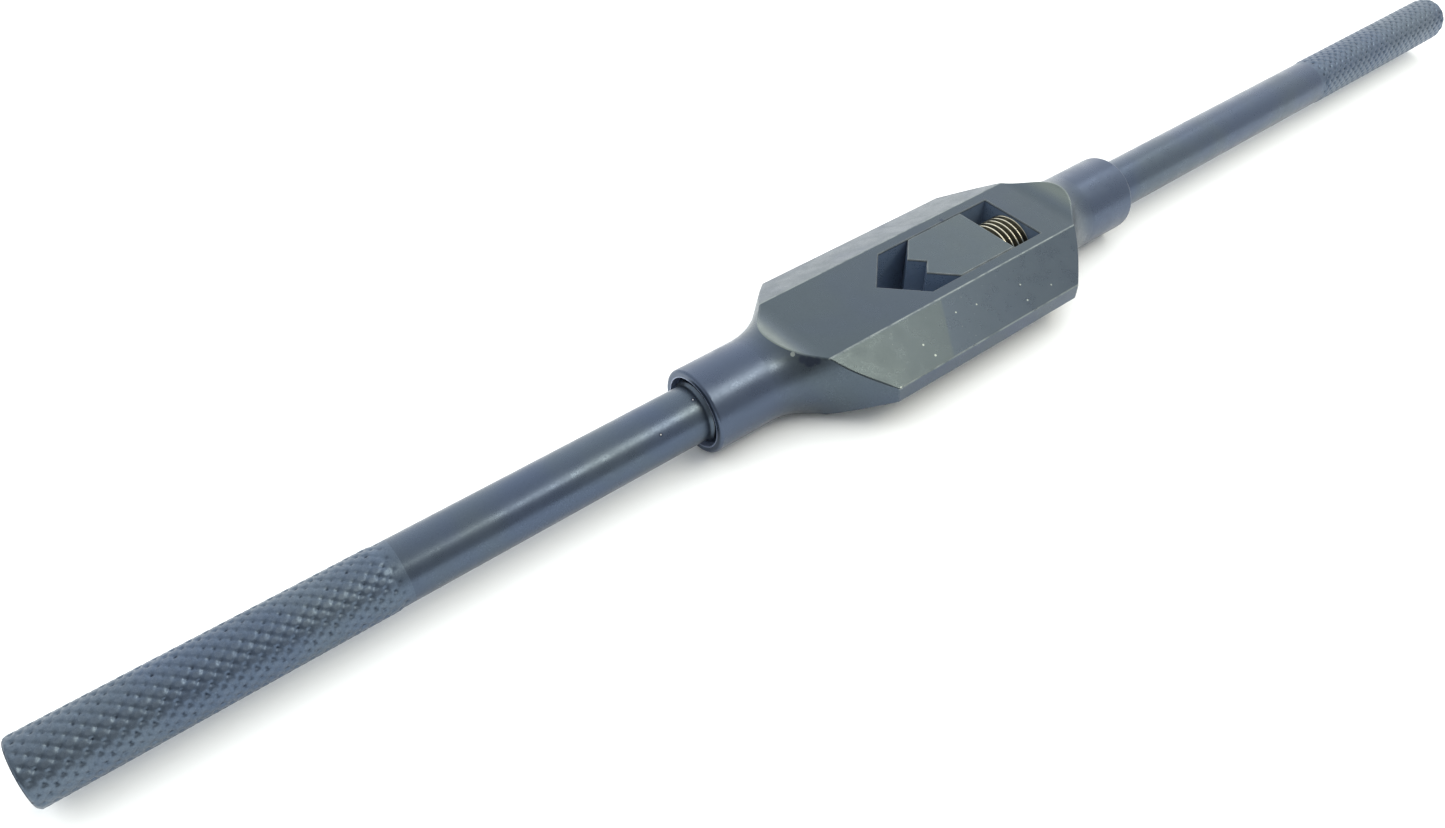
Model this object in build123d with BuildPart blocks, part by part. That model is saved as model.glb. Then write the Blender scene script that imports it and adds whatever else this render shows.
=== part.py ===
"""Adjustable bar tap wrench, in millimetres.

The wrench lies along X, with its two handles on the X axis and its flats facing
up and down (Z). The fixed handle points to -X and the adjusting handle to +X.
The adjusting handle ends in a screw that turns in the body and pushes or pulls
the sliding jaw along the window, so that a tap's square shank, standing along
Z, is held between the body's fixed V and the notch in the jaw.
"""

import os
from math import radians, tan

from build123d import *

os.makedirs("parts", exist_ok=True)

# Driving dimensions. Stations along X are counted from the middle of the body.
fixed_handle_end = -148.8
adjusting_handle_end = 170.4

# Body: an eight-sided bar with turned ends
bar_half_width = 17.2
bar_side_half_height = 1.45
flat_half_width = 8.7
flat_height = 6.1
shoulder_station = 21.5
flare_angle = 41.0
flare_fillet = 13.3
collar_radius = 7.2
collar_station = 49.5
collar_edge_round = 0.5
cutter_radius = 12.0
cutter_station = 28.8
bar_edge_round = 0.35

# Window, with the fixed V at its -X end
window_half_width = 6.55
v_apex_station = -10.9
v_mouth_station = v_apex_station + window_half_width
window_rear_station = 22.55
window_edge_break = 0.15

# Sliding jaw
jaw_clearance = 0.05
jaw_half_width = window_half_width - jaw_clearance
jaw_step = 0.02
jaw_half_height = flat_height - jaw_step
jaw_notch_station = 0.85
jaw_notch_depth = 2.35
jaw_rear_station = 15.85
jaw_edge_break = 0.15

# Handles: smooth shank, then a knurled grip with a chamfered end
shank_radius = 4.75
knurl_radius = 4.9
knurl_edge = 0.35
fixed_end_chamfer = 0.35
adjusting_end_chamfer = 0.7
fixed_knurl_station = -101.4
adjusting_knurl_station = 119.8

# Screw threads on both handles, as plain cylinders of the major radius
thread_radius = 5.5
thread_chamfer = 0.5
running_clearance = 0.05
screw_front_station = jaw_rear_station + running_clearance
screw_rear_station = 42.0
stud_inner_station = -30.0
stud_outer_station = -49.1
blind_bore_station = -28.5
mouth_radius = 6.0
mouth_depth = 1.5

# Swivel nose of the screw, held in the jaw by two dowel pins
nose_radius = 3.6
nose_station = 8.2
nose_chamfer = 0.4
nose_end_gap = 0.3
socket_station = nose_station - nose_end_gap
groove_radius = 2.3
groove_station = 12.2
groove_width = 2.4
pin_radius = 1.1
pin_half_length = 6.1
pin_height = groove_radius + running_clearance + pin_radius

turning_allowance = 1.0
cut_length = 30.0
match_tolerance = 0.01

# Worked out from the driving dimensions
body_centre_x = -(fixed_handle_end + adjusting_handle_end) / 2
bar_corner_radius = (bar_half_width**2 + bar_side_half_height**2) ** 0.5
blank_radius = bar_corner_radius + turning_allowance
flare_slope = tan(radians(flare_angle))
blank_station = shoulder_station - (blank_radius - bar_corner_radius) / flare_slope
neck_station = shoulder_station + (bar_corner_radius - collar_radius) / flare_slope
bevel_slope = (flat_height - bar_side_half_height) / (bar_half_width - flat_half_width)
ridge_height = flat_height + flat_half_width * bevel_slope
jaw_tip_station = jaw_notch_station - jaw_notch_depth
jaw_flank_station = jaw_tip_station + jaw_half_width - jaw_notch_depth
mid_collar_station = (neck_station + collar_station) / 2


def at(station):
    """X coordinate of a station counted from the middle of the body."""
    return body_centre_x + station


# Half-profile plane of the turned pieces: local x along X, local y outwards
turning_plane = Plane.XZ

with BuildPart() as body:
    with BuildSketch(Plane((body_centre_x, 0, 0), x_dir=(1, 0, 0), z_dir=(0, 0, 1))):
        with BuildLine():
            Polyline(
                (0, 0),
                (0, blank_radius),
                (blank_station, blank_radius),
                (neck_station, collar_radius),
                (collar_station, collar_radius),
                (collar_station, 0),
                close=True,
            )
        make_face()
        fillet([v for v in vertices() if abs(v.X - neck_station) < match_tolerance], flare_fillet)
        fillet([v for v in vertices() if v.X > mid_collar_station and v.Y > 0], collar_edge_round)
        mirror(about=Plane.YZ)
    revolve(axis=Axis.X)
    # The four bevels and two narrow sides
    with BuildSketch(Plane.YZ.offset(at(0))):
        with BuildLine():
            Polyline(
                (bar_half_width, -bar_side_half_height),
                (bar_half_width, bar_side_half_height),
                (0, ridge_height),
                (-bar_half_width, bar_side_half_height),
                (-bar_half_width, -bar_side_half_height),
                (0, -ridge_height),
                close=True,
            )
        make_face()
    extrude(amount=2 * collar_station, both=True, mode=Mode.INTERSECT)
    # The two flats, each rising to a run-out under the collars
    for side in (1, -1):
        with BuildSketch(Plane.XZ):
            with Locations((at(0), side * (flat_height + cutter_radius))):
                SlotCenterToCenter(2 * cutter_station, 2 * cutter_radius)
        extrude(amount=cut_length, both=True, mode=Mode.SUBTRACT)
    # Broken edges of the flats, bevels and sides, along the bar and round its ends
    long_edges = [e for e in body.edges().filter_by(Axis.X) if e.length > shoulder_station]
    bevel_ends = body.edges().filter_by(GeomType.HYPERBOLA)
    flat_ends = [
        e
        for e in body.edges()
        if e.geom_type in (GeomType.ELLIPSE, GeomType.BSPLINE)
        and abs(e.center().Z) > flat_height - match_tolerance
    ]
    fillet([*long_edges, *bevel_ends, *flat_ends], bar_edge_round)
    # The window, pointed at the fixed V
    with BuildSketch(Plane.XY):
        with BuildLine():
            Polyline(
                (at(v_apex_station), 0),
                (at(v_mouth_station), window_half_width),
                (at(window_rear_station), window_half_width),
                (at(window_rear_station), -window_half_width),
                (at(v_mouth_station), -window_half_width),
                close=True,
            )
        make_face()
    extrude(amount=cut_length, both=True, mode=Mode.SUBTRACT)
    window_rims = [
        e
        for e in body.edges().filter_by(GeomType.LINE)
        if abs(abs(e.center().Z) - flat_height) < match_tolerance
        and abs(e.center().Y) < window_half_width + match_tolerance
        and e.length > window_half_width
    ]
    chamfer(window_rims, window_edge_break)
    # Threaded bore for the screw, from the window out through the +X collar
    with BuildSketch(Plane.YZ.offset(at(window_rear_station))):
        Circle(thread_radius + running_clearance)
    extrude(amount=cut_length, mode=Mode.SUBTRACT)
    # Blind threaded bore for the fixed handle
    with BuildSketch(Plane.YZ.offset(at(blind_bore_station))):
        Circle(thread_radius)
    extrude(amount=-cut_length, mode=Mode.SUBTRACT)
    # Relieved mouth of both bores
    for side in (1, -1):
        with BuildSketch(Plane.YZ.offset(at(side * collar_station))):
            Circle(mouth_radius)
        extrude(amount=-side * mouth_depth, mode=Mode.SUBTRACT)

with BuildPart() as sliding_jaw:
    with BuildSketch(Plane.XY.offset(-jaw_half_height)):
        with BuildLine():
            Polyline(
                (at(jaw_notch_station), 0),
                (at(jaw_tip_station), jaw_notch_depth),
                (at(jaw_flank_station), jaw_half_width),
                (at(jaw_rear_station), jaw_half_width),
                (at(jaw_rear_station), -jaw_half_width),
                (at(jaw_flank_station), -jaw_half_width),
                (at(jaw_tip_station), -jaw_notch_depth),
                close=True,
            )
        make_face()
    extrude(amount=2 * jaw_half_height)
    level_edges = sliding_jaw.edges().filter_by(Axis.Z, reverse=True)
    chamfer(level_edges, jaw_edge_break)
    with BuildSketch(Plane.YZ.offset(at(socket_station))):
        Circle(nose_radius + running_clearance)
    extrude(amount=cut_length, mode=Mode.SUBTRACT)
    with BuildSketch(Plane.XZ):
        with Locations((at(groove_station), pin_height), (at(groove_station), -pin_height)):
            Circle(pin_radius)
    extrude(amount=cut_length, both=True, mode=Mode.SUBTRACT)

with BuildPart() as adjusting_handle:
    groove_front = groove_station - groove_width / 2
    groove_rear = groove_station + groove_width / 2
    with BuildSketch(turning_plane):
        with BuildLine():
            Polyline(
                (at(nose_station), 0),
                (at(nose_station), nose_radius - nose_chamfer),
                (at(nose_station + nose_chamfer), nose_radius),
                (at(groove_front), nose_radius),
                (at(groove_front), groove_radius),
                (at(groove_rear), groove_radius),
                (at(groove_rear), nose_radius),
                (at(screw_front_station), nose_radius),
                (at(screw_front_station), thread_radius - thread_chamfer),
                (at(screw_front_station + thread_chamfer), thread_radius),
                (at(screw_rear_station - thread_chamfer), thread_radius),
                (at(screw_rear_station), shank_radius),
                (at(adjusting_knurl_station), shank_radius),
                (at(adjusting_knurl_station + knurl_edge), knurl_radius),
                (at(adjusting_handle_end - adjusting_end_chamfer), knurl_radius),
                (at(adjusting_handle_end), knurl_radius - adjusting_end_chamfer),
                (at(adjusting_handle_end), 0),
                close=True,
            )
        make_face()
    revolve(axis=Axis.X)

with BuildPart() as fixed_handle:
    with BuildSketch(turning_plane):
        with BuildLine():
            Polyline(
                (at(stud_inner_station), 0),
                (at(stud_inner_station), thread_radius - thread_chamfer),
                (at(stud_inner_station - thread_chamfer), thread_radius),
                (at(stud_outer_station + thread_chamfer), thread_radius),
                (at(stud_outer_station), shank_radius),
                (at(fixed_knurl_station), shank_radius),
                (at(fixed_knurl_station - knurl_edge), knurl_radius),
                (at(fixed_handle_end + fixed_end_chamfer), knurl_radius),
                (at(fixed_handle_end), knurl_radius - fixed_end_chamfer),
                (at(fixed_handle_end), 0),
                close=True,
            )
        make_face()
    revolve(axis=Axis.X)

# The dowel pins pass above and below the nose and drop into its groove
with BuildPart() as upper_jaw_pin:
    with BuildSketch(Plane.XZ):
        with Locations((at(groove_station), pin_height)):
            Circle(pin_radius)
    extrude(amount=pin_half_length, both=True)

with BuildPart() as lower_jaw_pin:
    with BuildSketch(Plane.XZ):
        with Locations((at(groove_station), -pin_height)):
            Circle(pin_radius)
    extrude(amount=pin_half_length, both=True)

body.part.label = "body"
sliding_jaw.part.label = "sliding_jaw"
adjusting_handle.part.label = "adjusting_handle"
fixed_handle.part.label = "fixed_handle"
upper_jaw_pin.part.label = "upper_jaw_pin"
lower_jaw_pin.part.label = "lower_jaw_pin"

export_step(body.part, "parts/body.step")
export_step(sliding_jaw.part, "parts/sliding_jaw.step")
export_step(adjusting_handle.part, "parts/adjusting_handle.step")
export_step(fixed_handle.part, "parts/fixed_handle.step")
export_step(upper_jaw_pin.part, "parts/upper_jaw_pin.step")
export_step(lower_jaw_pin.part, "parts/lower_jaw_pin.step")
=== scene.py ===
import math

import bmesh
import bpy
import numpy as np
from mathutils import Euler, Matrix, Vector


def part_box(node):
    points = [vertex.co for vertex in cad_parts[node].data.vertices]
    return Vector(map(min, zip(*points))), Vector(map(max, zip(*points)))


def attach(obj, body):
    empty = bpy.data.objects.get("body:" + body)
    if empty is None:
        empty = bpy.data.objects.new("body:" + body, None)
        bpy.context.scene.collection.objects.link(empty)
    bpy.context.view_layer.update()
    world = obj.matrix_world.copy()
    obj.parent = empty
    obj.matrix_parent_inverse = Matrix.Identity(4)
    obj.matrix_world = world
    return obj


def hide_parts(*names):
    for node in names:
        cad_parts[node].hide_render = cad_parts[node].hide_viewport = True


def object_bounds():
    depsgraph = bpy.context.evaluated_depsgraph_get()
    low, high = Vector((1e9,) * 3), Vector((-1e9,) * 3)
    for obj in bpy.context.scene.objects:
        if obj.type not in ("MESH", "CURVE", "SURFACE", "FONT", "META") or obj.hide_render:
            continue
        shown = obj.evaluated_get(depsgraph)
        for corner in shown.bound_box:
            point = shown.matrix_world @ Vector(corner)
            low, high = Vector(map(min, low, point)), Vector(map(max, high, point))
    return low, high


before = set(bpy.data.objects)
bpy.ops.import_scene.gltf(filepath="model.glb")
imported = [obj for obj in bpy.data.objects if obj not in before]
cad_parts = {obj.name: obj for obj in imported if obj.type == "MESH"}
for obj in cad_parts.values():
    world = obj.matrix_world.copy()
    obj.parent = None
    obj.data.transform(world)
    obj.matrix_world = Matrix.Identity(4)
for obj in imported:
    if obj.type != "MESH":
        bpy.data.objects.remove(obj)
cad_low, cad_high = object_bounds()

MM = 0.001

# ---------------------------------------------------------------- places, in mm
# Boxes of the CAD nodes
body_low, body_high = (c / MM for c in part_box("body"))
_, jaw_high = (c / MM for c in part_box("sliding_jaw"))
screw_low, screw_high = (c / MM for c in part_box("adjusting_handle"))
stud_low, stud_high = (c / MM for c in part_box("fixed_handle"))
centre_x = (body_low.x + body_high.x) / 2
collar_x = (body_high.x - body_low.x) / 2
thread_radius = screw_high.z

# Body. Stations are counted along X from the middle of the body.
BAR_HALF_WIDTH = 17.2
SIDE_HALF_HEIGHT = 1.45
FLAT_HALF_WIDTH = 8.7
FLAT_HEIGHT = 6.1
BEVEL_SLOPE = (FLAT_HEIGHT - SIDE_HALF_HEIGHT) / (BAR_HALF_WIDTH - FLAT_HALF_WIDTH)
RUN_OUT = 28.8
CUTTER_RADIUS = 12.0
WINDOW_REACH = 22.7
WINDOW_HALF_WIDTH = 6.6
MOUTH_RADIUS = 6.0
MOUTH_DEPTH = 1.5

# Handles
SHANK_RADIUS = 4.75
GRIP_RADIUS = 4.9
FIXED_CHAMFER = 0.35
ADJUSTING_CHAMFER = 0.7
FIXED_SHANK = -49.9
FIXED_GRIP = -101.4
ADJUSTING_GRIP = 119.8
NOSE_RADIUS = 3.6
GROOVE_RADIUS = 2.3
GROOVE_STATION = 12.2
GROOVE_HALF_WIDTH = 1.2

# Screw: where one crest stands, and how far round, in turns
PITCH = 1.25
THREAD_ROOT = 4.76
THREAD_CHAMFER = 0.5
CREST_STATION = 22.65
CREST_TURN = 130 / 360
SCREW_CLEARANCE = 0.05
SCREW_REAR = 42.0

# Thread profile, as shares of half a pitch: the tooth's half width and its flank's
TOOTH_SHARE = 0.80
FLANK_SHARE = 0.66

# Material slots of both handles
SHANK, GRIP, THREAD, FACE = range(4)

# Diamond knurl: its period along the axis, how many go round, and its samples
KNURL_PERIOD = 2.12
KNURL_COUNT = 16
KNURL_STEPS = 12
AROUND = KNURL_COUNT * KNURL_STEPS
KNURL_GROOVE = 0.06
KNURL_PIT = 0.32
KNURL_DEPTH = KNURL_GROOVE + KNURL_PIT
GROOVE_REACH = 0.36
PIT_REACH = 0.48
LIP_OFFSET = 0.06
LIP_WIDTH = 0.10
LIP_SHARE = 0.10
KNURL_FADE = 1.3
KNURL_RISE = 1.1
KNURL_MARGIN = 0.3

# Where one knurl crossing stands on the fixed handle: its station and its turn
FIXED_KNURL_STATION = -110.6
FIXED_KNURL_TURN = 111.6 / 360


def at(station):
    """X in mm of a station counted from the middle of the body."""
    return centre_x + station


# ---------------------------------------------------------------- meshes
def mesh_object(name, points, faces, materials, slots):
    """A smooth-shaded object from points in mm, with a material slot for each face."""
    mesh = bpy.data.meshes.new(name)
    mesh.from_pydata([tuple(p) for p in np.asarray(points) * MM], [], faces)
    for material in materials:
        mesh.materials.append(material)
    mesh.polygons.foreach_set("material_index", slots)
    mesh.polygons.foreach_set("use_smooth", [True] * len(mesh.polygons))
    mesh.update()
    made = bpy.data.objects.new(name, mesh)
    bpy.context.scene.collection.objects.link(made)
    return made


def knurl_groove(distance, reach):
    """Depth share, 0 to 1, of a rolled groove at a distance from its middle, in mm."""
    flank = np.clip(1 - np.abs(distance) / reach, 0, 1)
    lip = np.exp(-(((np.abs(distance) - reach - LIP_OFFSET) / LIP_WIDTH) ** 2))
    return flank - LIP_SHARE * lip


def knurl_relief(x, turn, phase_x, phase_turn):
    """Depth in mm below the tips at a point of the grip."""
    u = (x - phase_x) / KNURL_PERIOD
    v = (turn - phase_turn) * KNURL_COUNT
    across = 2 * math.pi * GRIP_RADIUS / KNURL_COUNT
    pitch = KNURL_PERIOD * across / math.hypot(KNURL_PERIOD, across)
    first = pitch * ((u - v) - np.round(u - v))
    second = pitch * ((u + v) - np.round(u + v))
    grooves = np.maximum(knurl_groove(first, GROOVE_REACH), knurl_groove(second, GROOVE_REACH))
    crossing = np.clip(knurl_groove(first, PIT_REACH) * knurl_groove(second, PIT_REACH), 0, 1)
    # the wheels bite unevenly, so some pits are deeper than others
    angle = 2 * math.pi * (turn - phase_turn)
    uneven = 0.76 + 0.24 * np.sin(2.9 * u + 3 * angle) * np.sin(1.3 * u - 5 * angle)
    return (KNURL_GROOVE * grooves + KNURL_PIT * crossing) * uneven


class Turned:
    """Rings of a turned bar, from one end to the other, closed at both ends."""

    def __init__(self):
        self.points, self.faces, self.slots = [], [], []
        self.turn = np.arange(AROUND) / AROUND
        self.cos = np.cos(2 * math.pi * self.turn)
        self.sin = np.sin(2 * math.pi * self.turn)
        self.rings = 0

    def ring(self, x, radius, slot=0, diagonals=None):
        """Adds a ring, joined to the one before. diagonals says which way each quad is split."""
        start = self.rings * AROUND
        radius = np.broadcast_to(radius, (AROUND,))
        x = np.broadcast_to(x, (AROUND,))
        self.points += list(np.stack([x, radius * self.cos, radius * self.sin], 1))
        if self.rings:
            for j in range(AROUND):
                k = (j + 1) % AROUND
                a, b, c, d = start - AROUND + j, start + j, start + k, start - AROUND + k
                if diagonals is None or diagonals[j] == 0:
                    new = [(a, b, c, d)]
                elif diagonals[j] > 0:
                    new = [(a, b, c), (a, c, d)]
                else:
                    new = [(a, b, d), (b, c, d)]
                self.faces += new
                self.slots += [slot] * len(new)
        self.rings += 1

    def close(self, slot):
        """Closes the first and the last ring with fans."""
        for ring, flip in ((0, False), (self.rings - 1, True)):
            start = ring * AROUND
            centre = len(self.points)
            self.points.append((self.points[start][0], 0.0, 0.0))
            for j in range(AROUND):
                a, b = start + j, start + (j + 1) % AROUND
                self.faces.append((a, centre, b) if flip else (a, b, centre))
                self.slots.append(slot)


def shank_rings(bar, start, stop):
    """The smooth shank, between two places along X."""
    for share in np.linspace(0, 1, 30):
        bar.ring(start + (stop - start) * share, SHANK_RADIUS, SHANK)


def grip_rings(bar, shank_end, free_end, chamfer, phase_x, phase_turn):
    """The knurled grip, from the shank to the chamfered free end."""
    way = 1 if free_end > shank_end else -1
    step = KNURL_PERIOD / KNURL_STEPS
    first = math.ceil((shank_end - way * KNURL_FADE - phase_x) / step * way) * way
    chamfer_x = free_end - way * chamfer
    count = int((chamfer_x - phase_x) / step * way) * way
    j = np.arange(AROUND) - round(phase_turn * AROUND)
    for i in range(first, count + way, way):
        x = phase_x + i * step
        if way * (x - chamfer_x) > -1e-6:
            break
        # the knurl sinks in gradually on both sides of the place where the grip starts to rise
        rise = np.clip(way * (x - shank_end) / KNURL_RISE, 0, 1)
        fade = np.clip((way * (x - shank_end) + KNURL_FADE) / (2 * KNURL_FADE), 0, 1)
        top = SHANK_RADIUS + (GRIP_RADIUS - SHANK_RADIUS) * rise * rise * (3 - 2 * rise)
        relief = knurl_relief(x, bar.turn, phase_x, phase_turn) * fade
        # each quad is split along the nearer groove
        i_cell = i if way < 0 else i - 1
        one = (i_cell - j) % KNURL_STEPS
        two = (i_cell + j + 1) % KNURL_STEPS
        near_one = np.minimum(one, KNURL_STEPS - one)
        near_two = np.minimum(two, KNURL_STEPS - two)
        split = np.where(near_one < near_two, 1, np.where(near_one > near_two, -1, 0))
        bar.ring(x, top - relief, GRIP, split * way)
    for k in range(1, 5):
        share = k / 4
        x = free_end - way * chamfer * (1 - share)
        relief = knurl_relief(x, bar.turn, phase_x, phase_turn)
        radius = GRIP_RADIUS - chamfer * share
        bar.ring(x, np.minimum(radius, GRIP_RADIUS - relief), GRIP)
    # turned end face, very slightly dished towards its middle
    for radius in (4.1, 3.3, 2.5, 1.7, 0.9, 0.3):
        bar.ring(free_end - way * 0.02 * (4.2 - radius), radius, FACE)


def thread_profile(share):
    """Height share, 0 at the root and 1 at the crest, of a 60 degree thread."""
    tooth = np.abs(share - 0.5) * 2
    return np.clip((TOOTH_SHARE - tooth) / FLANK_SHARE, 0, 1)


def thread_shell(x0, x1, crest, rows=14, segments=96):
    """A closed screw thread between two planes: points and faces."""
    turns = int((x1 - x0) / PITCH) + 6
    start = at(CREST_STATION) - PITCH * (CREST_TURN + 0.5)
    start -= PITCH * (math.ceil((start - x0) / PITCH) + 2)
    height = crest - THREAD_ROOT
    core = THREAD_ROOT - 0.1
    points, faces = [], []
    shares = np.arange(rows) / rows
    levels = thread_profile(shares)
    for k in range(turns * segments + 1):
        angle = 2 * math.pi * k / segments
        for share, level in zip(shares, levels):
            x = start + PITCH * (k / segments + share)
            limit = core + max(0.0, min(x - x0, x1 - x)) * height / THREAD_CHAMFER
            radius = max(core, min(THREAD_ROOT + height * level, limit))
            points.append((x, radius * math.cos(angle), radius * math.sin(angle)))
    for k in range(turns * segments):
        for i in range(rows):
            a = k * rows + i
            b = a + 1 if i + 1 < rows else (k + segments) * rows
            if b + rows < len(points):
                faces.append((a, a + rows, b + rows, b))
    mesh = bmesh.new()
    verts = [mesh.verts.new(p) for p in points]
    for face in faces:
        mesh.faces.new([verts[i] for i in face])
    # cut square at both planes and closed with fans
    for x, normal in ((x0, -1), (x1, 1)):
        cut = bmesh.ops.bisect_plane(
            mesh,
            geom=mesh.verts[:] + mesh.edges[:] + mesh.faces[:],
            dist=1e-5,
            plane_co=(x, 0, 0),
            plane_no=(normal, 0, 0),
            clear_outer=True,
        )
        rim = [e for e in cut["geom_cut"] if isinstance(e, bmesh.types.BMEdge)]
        centre = mesh.verts.new((x, 0, 0))
        for edge in rim:
            mesh.faces.new((edge.verts[0], edge.verts[1], centre))
    loose = [v for v in mesh.verts if not v.link_faces]
    bmesh.ops.delete(mesh, geom=loose, context="VERTS")
    bmesh.ops.recalc_face_normals(mesh, faces=mesh.faces[:])
    mesh.verts.index_update()
    points = [tuple(v.co) for v in mesh.verts]
    faces = [tuple(v.index for v in f.verts) for f in mesh.faces]
    mesh.free()
    return points, faces


def joined(name, shells, materials):
    """One object from closed shells, each (points, faces, slots)."""
    points, faces, slots = [], [], []
    for shell_points, shell_faces, shell_slots in shells:
        base = len(points)
        points += list(shell_points)
        faces += [tuple(i + base for i in f) for f in shell_faces]
        slots += list(shell_slots)
    return mesh_object(name, points, faces, materials, slots)


# ---------------------------------------------------------------- materials
# Marks in the finish: station, Y, Z and radius, all in mm
BEVEL_NIBS = (
    (-12.2, -15.55, 2.35, 0.14),
    (10.2, -15.3, 2.5, 0.12),
    (0.7, -12.1, 4.3, 0.10),
    (10.9, -12.7, 3.9, 0.10),
    (-3.8, -11.6, 4.5, 0.10),
    (-13.0, -13.4, 3.55, 0.12),
    (16.5, -15.05, 2.6, 0.10),
    (-21.2, -17.0, 1.4, 0.18),
    (-33.4, -4.65, 6.55, 0.32),
)
SMUDGES = (
    (-32.5, -6.0, 5.9, 0.35),
    (-31.7, -6.8, 5.5, 0.60),
    (-30.7, -7.4, 5.6, 0.35),
    (11.6, 7.0, 6.1, 0.10),
    (16.4, 15.4, 2.4, 0.15),
)
SHANK_NICKS = (
    (-50.58, -1.51, 4.5, 0.09),
    (-58.08, -3.51, 3.2, 0.08),
)


# Bright steel showing through at worn edges
EDGE_WEAR = (0.26, 0.28, 0.28)

# How metallic the walls of the window and of the bores' mouths are made, so that their painted fill
# light shows
FILL_LIGHT_METALLIC = 0.30


class Graph:
    """A small helper round one material's node tree, with lengths in mm."""

    def __init__(self, name):
        self.material = bpy.data.materials.new(name)
        self.material.use_nodes = True
        self.tree = self.material.node_tree
        self.tree.nodes.clear()
        self.out = self.tree.nodes.new("ShaderNodeOutputMaterial")
        place = self.node("ShaderNodeTexCoord").outputs["Object"]
        self.place = self.scaled(place, 1 / MM)

    def node(self, kind, inputs=None, **settings):
        made = self.tree.nodes.new(kind)
        for key, value in settings.items():
            setattr(made, key, value)
        for key, value in (inputs or {}).items():
            if isinstance(value, bpy.types.NodeSocket):
                self.tree.links.new(value, made.inputs[key])
            else:
                made.inputs[key].default_value = value
        return made

    def scaled(self, vector, factor):
        made = self.node("ShaderNodeVectorMath", {0: vector}, operation="SCALE")
        made.inputs["Scale"].default_value = factor
        return made.outputs[0]

    def times(self, vector, factors):
        made = self.node("ShaderNodeVectorMath", {0: vector, 1: factors}, operation="MULTIPLY")
        return made.outputs[0]

    def math(self, operation, a, b=0.0):
        return self.node("ShaderNodeMath", {0: a, 1: b}, operation=operation).outputs[0]

    def product(self, first, *others):
        for other in others:
            first = self.math("MULTIPLY", first, other)
        return first

    def apart(self, a, b):
        """How far two values are apart."""
        return self.math("ABSOLUTE", self.math("SUBTRACT", a, b))

    def hypotenuse(self, a, b):
        squares = self.math("ADD", self.math("MULTIPLY", a, a), self.math("MULTIPLY", b, b))
        return self.math("SQRT", squares)

    def ramp(self, value, low, high, start=0.0, end=1.0):
        """value from low to high becomes start to end, smoothly."""
        inputs = {"Value": value, "From Min": low, "From Max": high, "To Min": start, "To Max": end}
        return self.node("ShaderNodeMapRange", inputs, interpolation_type="SMOOTHSTEP").outputs[0]

    def noise(self, scale, detail=3.0, roughness=0.55, vector=None):
        inputs = {"Vector": vector or self.place, "Scale": scale}
        inputs.update({"Detail": detail, "Roughness": roughness})
        return self.node("ShaderNodeTexNoise", inputs).outputs["Fac"]

    def mix(self, factor, a, b):
        """Colour a where factor is 0 and colour b where it is 1."""
        made = self.node("ShaderNodeMix", data_type="RGBA")
        for key, value in (("Factor", factor), ("A", a), ("B", b)):
            sockets = [s for s in made.inputs if s.name == key and s.enabled]
            if isinstance(value, bpy.types.NodeSocket):
                self.tree.links.new(value, sockets[0])
            else:
                sockets[0].default_value = value if key == "Factor" else (*value, 1.0)
        return [s for s in made.outputs if s.enabled][0]

    def axes(self):
        parts = self.node("ShaderNodeSeparateXYZ", {0: self.place}).outputs
        return parts[0], parts[1], parts[2]

    def from_axis(self):
        """Distance from the handles' axis."""
        _, y, z = self.axes()
        return self.hypotenuse(y, z)

    def edges(self, radius_mm, low, high):
        """1 on outside edges and 0 on open faces, from how far the normal turns within a radius."""
        soft = self.node("ShaderNodeBevel", samples=6)
        soft.inputs["Radius"].default_value = radius_mm * MM
        hard = self.node("ShaderNodeNewGeometry").outputs["Normal"]
        dot = self.node("ShaderNodeVectorMath", {0: soft.outputs[0], 1: hard}, operation="DOT_PRODUCT")
        turned = self.math("SUBTRACT", 1.0, dot.outputs["Value"])
        return self.ramp(turned, low, high)

    def spot(self, place, radius, soft=0.5):
        """1 within a radius of a place, both in mm, fading out to radius plus soft."""
        inputs = {0: self.place, 1: place}
        away = self.node("ShaderNodeVectorMath", inputs, operation="DISTANCE").outputs["Value"]
        return self.ramp(away, radius + soft, radius)

    def bump(self, height, strength, distance_mm, under=None):
        inputs = {"Strength": strength, "Distance": distance_mm * MM, "Height": height}
        if under is not None:
            inputs["Normal"] = under
        return self.node("ShaderNodeBump", inputs).outputs[0]

    def surface(self, colour, roughness, normal, metallic=1.0):
        """The finished material."""
        inputs = {"Base Color": colour, "Roughness": roughness, "Metallic": metallic, "Normal": normal}
        shader = self.node("ShaderNodeBsdfPrincipled", inputs)
        self.tree.links.new(shader.outputs[0], self.out.inputs[0])
        return self.material


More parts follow.
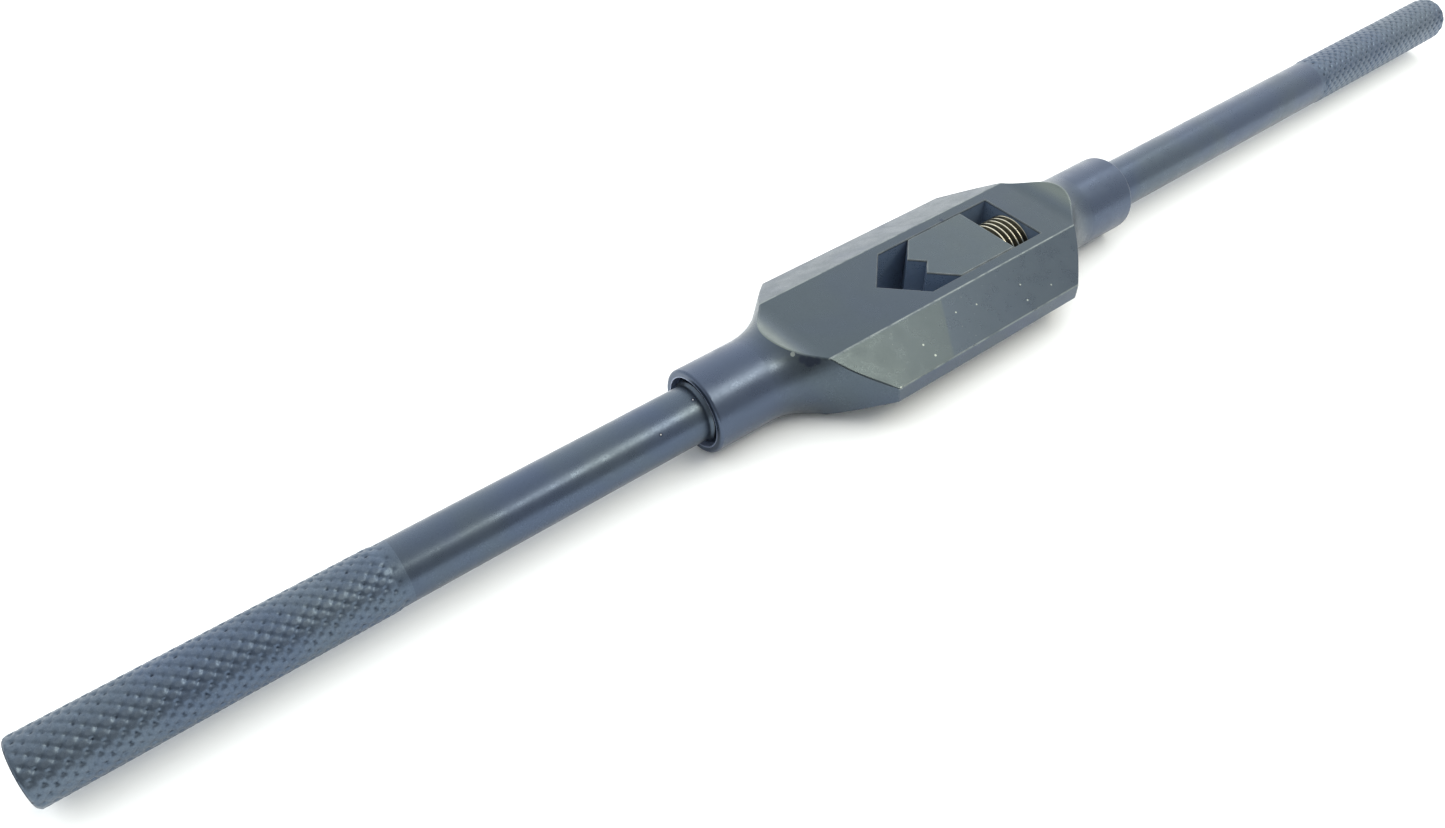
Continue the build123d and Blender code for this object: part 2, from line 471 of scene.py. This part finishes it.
def oxide(name, cool, green, grain=1.0, edge_radius=0.25, edge_colour=EDGE_WEAR, rough=0.27):
    """Black-oxide steel: bluish with a greenish drift, fine grain, and brighter worn edges."""
    g = Graph(name)
    drift = g.ramp(g.noise(0.06, 2.0), 0.38, 0.62)
    grain_noise = g.noise(3.2, 4.0, 0.7)
    colour = g.mix(drift, cool, green)
    dark = tuple(c * 0.72 for c in cool)
    colour = g.mix(g.ramp(grain_noise, 0.45, 0.75, 0.0, 0.35 * grain), colour, dark)
    pale = tuple(min(1.0, c * 1.7) for c in green)
    colour = g.mix(g.ramp(g.noise(5.5, 3.0, 0.6), 0.60, 0.78, 0.0, 0.35 * grain), colour, pale)
    rubbed = g.ramp(g.noise(0.45, 3.0), 0.32, 0.68, 0.45, 1.0)
    wear = g.math("MULTIPLY", g.edges(edge_radius, 0.004, 0.03), rubbed)
    g.colour = g.mix(wear, colour, edge_colour)
    broad = g.ramp(g.noise(0.35, 3.0), 0.3, 0.7, rough, rough + 0.08)
    g.roughness = g.math("ADD", broad, g.ramp(grain_noise, 0.3, 0.7, -0.03, 0.05))
    g.normal = g.bump(grain_noise, 0.35 * grain, 0.012)
    return g


def paint_window_fill_light(g, colour):
    """Paints a lighter navy over the walls of the window and the ends of the jaw, where the light
    hardly reaches: painted fill light in place of their shade.
    """
    x, y, z = g.axes()
    along = g.math("LESS_THAN", g.apart(x, at(0.0)), WINDOW_REACH)
    across = g.math("LESS_THAN", g.math("ABSOLUTE", y), WINDOW_HALF_WIDTH)
    below = g.ramp(g.math("ABSOLUTE", z), FLAT_HEIGHT - 0.15, FLAT_HEIGHT - 0.45)
    g.inside = g.product(along, across, below)
    # painted fill light: a lighter navy where the window's walls lie in shade
    return g.mix(g.inside, colour, (0.142, 0.197, 0.288))


def body_material():
    g = oxide("body_black_oxide", (0.074, 0.094, 0.129), (0.079, 0.100, 0.121))
    x, y, z = g.axes()
    width, height = g.math("ABSOLUTE", y), g.math("ABSOLUTE", z)
    outwards = g.apart(x, at(0.0))
    # the bevels on the -Y side are painted paler and greener on one side of a slanting line and
    # darker, bluer on the other: a painted reflection of the strip light's edge
    split = g.math("SUBTRACT", x, g.math("MULTIPLY", g.math("ADD", y, 9.6), 0.55))
    strip_reflection_side = g.ramp(split, at(-5.5), at(-4.9))
    bevel_painted_reflection = g.mix(strip_reflection_side, (0.068, 0.085, 0.092), (0.056, 0.072, 0.092))
    past_flat = g.math("SUBTRACT", width, FLAT_HALF_WIDTH)
    plane = g.math("ADD", height, g.math("MULTIPLY", past_flat, BEVEL_SLOPE))
    bevel = g.ramp(g.apart(plane, FLAT_HEIGHT), 0.10, 0.03)
    bevel = g.product(bevel, g.ramp(width, FLAT_HALF_WIDTH + 0.05, FLAT_HALF_WIDTH + 0.3))
    facing = g.product(bevel, g.math("LESS_THAN", y, 0.0))
    flat = g.ramp(g.apart(height, FLAT_HEIGHT), 0.35, 0.05)
    colour = g.mix(g.product(flat, 0.5), g.colour, (0.066, 0.084, 0.093))
    # painted reflection of the strip light on the -Y bevels
    colour = g.mix(g.product(facing, 0.85), colour, bevel_painted_reflection)
    # the collars, a little bluer than the bar
    colour = g.mix(g.ramp(outwards, 33.0, 40.0), colour, (0.079, 0.101, 0.146))
    # the flats' run-outs, painted paler as they rise: a painted reflection of the sky off their curved
    # faces
    beyond = g.math("MAXIMUM", g.math("SUBTRACT", outwards, RUN_OUT), 0.0)
    rise = g.product(beyond, beyond, 0.5 / CUTTER_RADIUS)
    off = g.apart(g.math("SUBTRACT", height, FLAT_HEIGHT), rise)
    run_out_painted_sheen = g.product(g.ramp(off, 0.16, 0.06), g.ramp(rise, 0.08, 1.1))
    # painted reflection on the run-outs
    colour = g.mix(g.product(run_out_painted_sheen, 0.8), colour, (0.175, 0.204, 0.190))
    # fine raised nibs left in the finish on the bevels, most of them towards the fixed handle
    cells = g.node("ShaderNodeTexVoronoi", {"Vector": g.place, "Scale": 0.95}, feature="F1")
    near = g.ramp(cells.outputs["Distance"], 0.17, 0.04)
    lot = g.node("ShaderNodeSeparateColor", {0: cells.outputs["Color"]}).outputs[0]
    share = g.ramp(split, at(-6.0), at(12.0), 1.0, 0.15)
    patch = g.product(g.ramp(g.noise(0.13, 2.0), 0.36, 0.52), share)
    nibs = g.product(near, g.ramp(lot, 0.48, 0.52), bevel, patch)
    colour = g.mix(g.product(nibs, 0.5), colour, (0.20, 0.23, 0.22))
    for station, across, level, radius in BEVEL_NIBS:
        nib = g.spot((at(station), across, level), radius, 0.10)
        colour = g.mix(nib, colour, (0.28, 0.32, 0.31))
    for station, across, level, radius in SMUDGES:
        smudge = g.spot((at(station), across, level), radius, 0.5)
        colour = g.mix(smudge, colour, (0.046, 0.058, 0.084))
    # worn lines along the bar where a flat meets a bevel and a bevel meets a side
    worn = g.ramp(g.noise(0.5, 3.0), 0.30, 0.62, 0.35, 1.0)
    for line_y, line_z in ((8.62, 6.06), (17.12, SIDE_HALF_HEIGHT)):
        dy, dz = g.math("SUBTRACT", width, line_y), g.math("SUBTRACT", height, line_z)
        line = g.product(g.ramp(g.hypotenuse(dy, dz), 0.20, 0.06), worn)
        colour = g.mix(line, colour, (0.22, 0.25, 0.25))
    colour = paint_window_fill_light(g, colour)
    # the relieved mouths of the two bores, which the light hardly reaches either, are painted a
    # lighter blue: painted fill light over their shade
    depth = g.ramp(outwards, collar_x - MOUTH_DEPTH - 0.2, collar_x - MOUTH_DEPTH - 0.1)
    mouth = g.product(depth, g.ramp(g.from_axis(), MOUTH_RADIUS + 0.2, MOUTH_RADIUS + 0.05))
    # painted fill light in the shaded mouths
    colour = g.mix(mouth, colour, (0.30, 0.36, 0.50))
    normal = g.bump(nibs, 0.6, 0.04, g.normal)
    # the painted fill light in the window and the mouths also lowers the metallic, so the lighter
    # colour shows
    metallic = g.ramp(g.math("MAXIMUM", g.inside, mouth), 0.0, 1.0, 1.0, FILL_LIGHT_METALLIC)
    return g.surface(colour, g.roughness, normal, metallic)


def jaw_material():
    g = oxide("jaw_black_oxide", (0.086, 0.108, 0.124), (0.092, 0.114, 0.121), 0.8)
    colour = paint_window_fill_light(g, g.colour)
    # the painted fill light on the jaw's ends also lowers the metallic, so the lighter colour shows
    metallic = g.ramp(g.inside, 0.0, 1.0, 1.0, FILL_LIGHT_METALLIC)
    return g.surface(colour, g.roughness, g.normal, metallic)


def handle_material():
    g = oxide("handle_black_oxide", (0.078, 0.102, 0.150), (0.086, 0.110, 0.140), 1.0, 0.2)
    colour = g.colour
    for station, across, level, radius in SHANK_NICKS:
        place = (at(station), across, level)
        colour = g.mix(g.spot(place, radius + 0.12, 0.2), colour, (0.040, 0.050, 0.080))
        colour = g.mix(g.spot(place, radius, 0.06), colour, (0.70, 0.72, 0.72))
    return g.surface(colour, g.roughness, g.normal)


def grip_material():
    cool, green, edge = (0.096, 0.128, 0.182), (0.110, 0.142, 0.182), (0.42, 0.46, 0.50)
    g = oxide("grip_black_oxide", cool, green, 1.8, 0.12, edge, 0.36)
    radius = g.from_axis()
    # the deep pits of the knurl are painted near black: painted shade
    clear_of_pit_shade = g.ramp(radius, GRIP_RADIUS - KNURL_DEPTH * 0.9, GRIP_RADIUS - 0.14)
    colour = g.mix(clear_of_pit_shade, (0.014, 0.020, 0.034), g.colour)
    tips = g.ramp(radius, GRIP_RADIUS - 0.005, GRIP_RADIUS + 0.012)
    colour = g.mix(g.product(tips, 0.35), colour, (0.30, 0.34, 0.38))
    return g.surface(colour, g.roughness, g.normal)


def face_material():
    cool, green = (0.095, 0.118, 0.150), (0.105, 0.125, 0.140)
    g = oxide("turned_end_black_oxide", cool, green, 0.8, 0.2)
    rings = g.math("SINE", g.product(g.from_axis(), 34.0))
    return g.surface(g.colour, g.roughness, g.bump(rings, 0.25, 0.01, g.normal))


def thread_material():
    g = Graph("screw_thread_steel")
    flank = g.ramp(g.from_axis(), thread_radius - 0.13, thread_radius - 0.02)
    patchy = g.ramp(g.noise(0.9, 3.0), 0.3, 0.7)
    root = g.mix(patchy, (0.060, 0.060, 0.050), (0.125, 0.115, 0.075))
    crest = g.mix(patchy, (0.80, 0.76, 0.60), (0.62, 0.60, 0.50))
    roughness = g.ramp(flank, 0.0, 1.0, 0.5, 0.28)
    return g.surface(g.mix(flank, root, crest), roughness, g.bump(g.noise(6.0), 0.2, 0.01))


def pin_material():
    g = Graph("dowel_ground_steel")
    along = g.times(g.place, (2.5, 0.15, 2.5))
    streaks = g.noise(2.0, 3.0, 0.6, along)
    colour = g.mix(g.ramp(streaks, 0.3, 0.7), (0.36, 0.36, 0.35), (0.50, 0.50, 0.48))
    roughness = g.ramp(streaks, 0.3, 0.7, 0.22, 0.34)
    return g.surface(colour, roughness, g.bump(streaks, 0.2, 0.005))


def floor_material():
    g = Graph("pale_floor")
    tone = g.ramp(g.noise(0.004, 2.0), 0.3, 0.7)
    colour = g.mix(tone, (0.915, 0.94, 0.95), (0.93, 0.95, 0.955))
    return g.surface(colour, 0.9, g.bump(g.noise(0.5), 0.02, 0.05), 0.0)


# ---------------------------------------------------------------- build
pin_steel = pin_material()
for name, material in (
    ("body", body_material()),
    ("sliding_jaw", jaw_material()),
    ("upper_jaw_pin", pin_steel),
    ("lower_jaw_pin", pin_steel),
):
    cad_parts[name].data.materials.clear()
    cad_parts[name].data.materials.append(material)

handle_materials = [handle_material(), grip_material(), thread_material(), face_material()]

# Adjusting handle: swivel nose, core of the screw, shank and grip
screw_front = jaw_high.x + SCREW_CLEARANCE
groove_front = at(GROOVE_STATION - GROOVE_HALF_WIDTH)
groove_rear = at(GROOVE_STATION + GROOVE_HALF_WIDTH)
bar = Turned()
for x, radius in (
    (screw_low.x, 0.6),
    (screw_low.x, 3.2),
    (screw_low.x + 0.4, NOSE_RADIUS),
    (groove_front, NOSE_RADIUS),
    (groove_front, GROOVE_RADIUS),
    (groove_rear, GROOVE_RADIUS),
    (groove_rear, NOSE_RADIUS),
    (screw_front, NOSE_RADIUS),
    (screw_front + 0.3, 4.3),
    (at(SCREW_REAR - 1.0), 4.6),
    (at(SCREW_REAR - 0.4), SHANK_RADIUS),
):
    bar.ring(x, radius, SHANK)
grip_start = at(ADJUSTING_GRIP)
shank_rings(bar, at(SCREW_REAR), grip_start - KNURL_FADE - KNURL_MARGIN)
grip_rings(bar, grip_start, screw_high.x, ADJUSTING_CHAMFER, grip_start, 0.0)
bar.close(FACE)
points, faces = thread_shell(screw_front, at(SCREW_REAR), thread_radius - 0.01)
adjusting = joined(
    "adjusting_handle_detail",
    [(bar.points, bar.faces, bar.slots), (points, faces, [THREAD] * len(faces))],
    handle_materials,
)
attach(adjusting, "adjuster")
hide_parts("adjusting_handle")

# Fixed handle: threaded stud, the last turns of its thread showing in the mouth, shank and grip
bar = Turned()
for x, radius in (
    (stud_high.x, 0.6),
    (stud_high.x, 4.9),
    (stud_high.x - 0.5, 5.4),
    (at(-47.6), 5.4),
    (at(-48.15), 5.4),
    (at(-48.2), 5.72),
    (at(-48.36), 5.72),
    (at(-48.5), 5.25),
    (at(-48.62), 5.25),
    (at(-48.74), 5.45),
    (at(-48.82), 5.45),
    (at(-48.98), 4.98),
    (at(-49.12), 5.12),
    (at(-49.2), 5.10),
    (at(-49.5), SHANK_RADIUS),
):
    bar.ring(x, radius, SHANK)
grip_start = at(FIXED_GRIP)
shank_rings(bar, at(FIXED_SHANK), grip_start + KNURL_FADE + KNURL_MARGIN)
grip_rings(bar, grip_start, stud_low.x, FIXED_CHAMFER, at(FIXED_KNURL_STATION), FIXED_KNURL_TURN)
bar.close(FACE)
fixed = joined("fixed_handle_detail", [(bar.points, bar.faces, bar.slots)], handle_materials)
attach(fixed, "frame")
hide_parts("fixed_handle")

# ---------------------------------------------------------------- stage
bpy.ops.mesh.primitive_plane_add(size=8.0, location=(0, 0, cad_low.z))
floor = bpy.context.object
floor.name = "floor"
floor.data.materials.append(floor_material())


def area_light(name, place, turn, size, radiance, colour):
    """A downward-facing rectangle of light, its long side turned from X by an angle in degrees."""
    light = bpy.data.lights.new(name, "AREA")
    light.shape = "RECTANGLE"
    light.size, light.size_y = size
    light.energy = radiance * math.pi * size[0] * size[1]
    light.color = colour
    lamp = bpy.data.objects.new(name, light)
    lamp.location = place
    lamp.rotation_euler = (0, 0, math.radians(turn))
    bpy.context.scene.collection.objects.link(lamp)
    return lamp


# A long strip light hung over the wrench's right, dimmer at its far end
area_light("strip_near", (0.43, -0.62, 1.0), 48, (0.55, 0.36), 7.0, (1.0, 0.92, 0.72))
area_light("strip_middle", (0.68, -0.22, 1.0), 48, (0.42, 0.20), 5.0, (1.0, 0.93, 0.76))
area_light("strip_far", (0.97, 0.11, 1.0), 48, (0.46, 0.20), 2.8, (1.0, 0.97, 0.90))
fill = area_light("floor_fill", (0.0, 0.0, 2.0), 0, (4.0, 4.0), 0.95, (0.97, 0.99, 1.0))
fill.visible_glossy = False

world = bpy.data.worlds.new("studio")
world.use_nodes = True
sky = world.node_tree.nodes["Background"]
sky.inputs["Color"].default_value = (0.98, 0.995, 1.0, 1.0)


def world_math(operation, a, b):
    """A math node in the world's node tree."""
    made = world.node_tree.nodes.new("ShaderNodeMath")
    made.operation = operation
    for socket, value in zip(made.inputs, (a, b)):
        if isinstance(value, bpy.types.NodeSocket):
            world.node_tree.links.new(value, socket)
        else:
            socket.default_value = value
    return made.outputs[0]


# The room is a broad soft gradient, brightest low down beyond the wrench
heading = world.node_tree.nodes.new("ShaderNodeVectorMath")
heading.operation = "DOT_PRODUCT"
heading.inputs[1].default_value = (0.62, 0.78, 0.0)
directions = world.node_tree.nodes.new("ShaderNodeTexCoord").outputs["Generated"]
world.node_tree.links.new(directions, heading.inputs[0])
facing = heading.outputs["Value"]
ahead = world_math("MAXIMUM", facing, 0.0)
rise = world_math("MULTIPLY", world_math("MULTIPLY", ahead, ahead), 0.45)
fall = world_math("MULTIPLY", world_math("MINIMUM", facing, 0.0), 0.30)
level = world_math("ADD", world_math("MULTIPLY", facing, 0.42), 1.03)
level = world_math("ADD", world_math("ADD", level, rise), fall)
world.node_tree.links.new(level, sky.inputs["Strength"])
bpy.context.scene.world = world
bpy.context.scene.view_settings.view_transform = "Standard"

camera_data = bpy.data.cameras.new("camera")
camera_data.sensor_width = 36.0
camera_data.lens = 28.41
camera_data.clip_start = 0.01
camera = bpy.data.objects.new("camera", camera_data)
camera.location = Vector((centre_x - 124.114, -103.861, 124.172)) * MM
camera.rotation_euler = Euler([math.radians(a) for a in (45.738, 0.206, -37.944)])
bpy.context.scene.collection.objects.link(camera)
bpy.context.scene.camera = camera
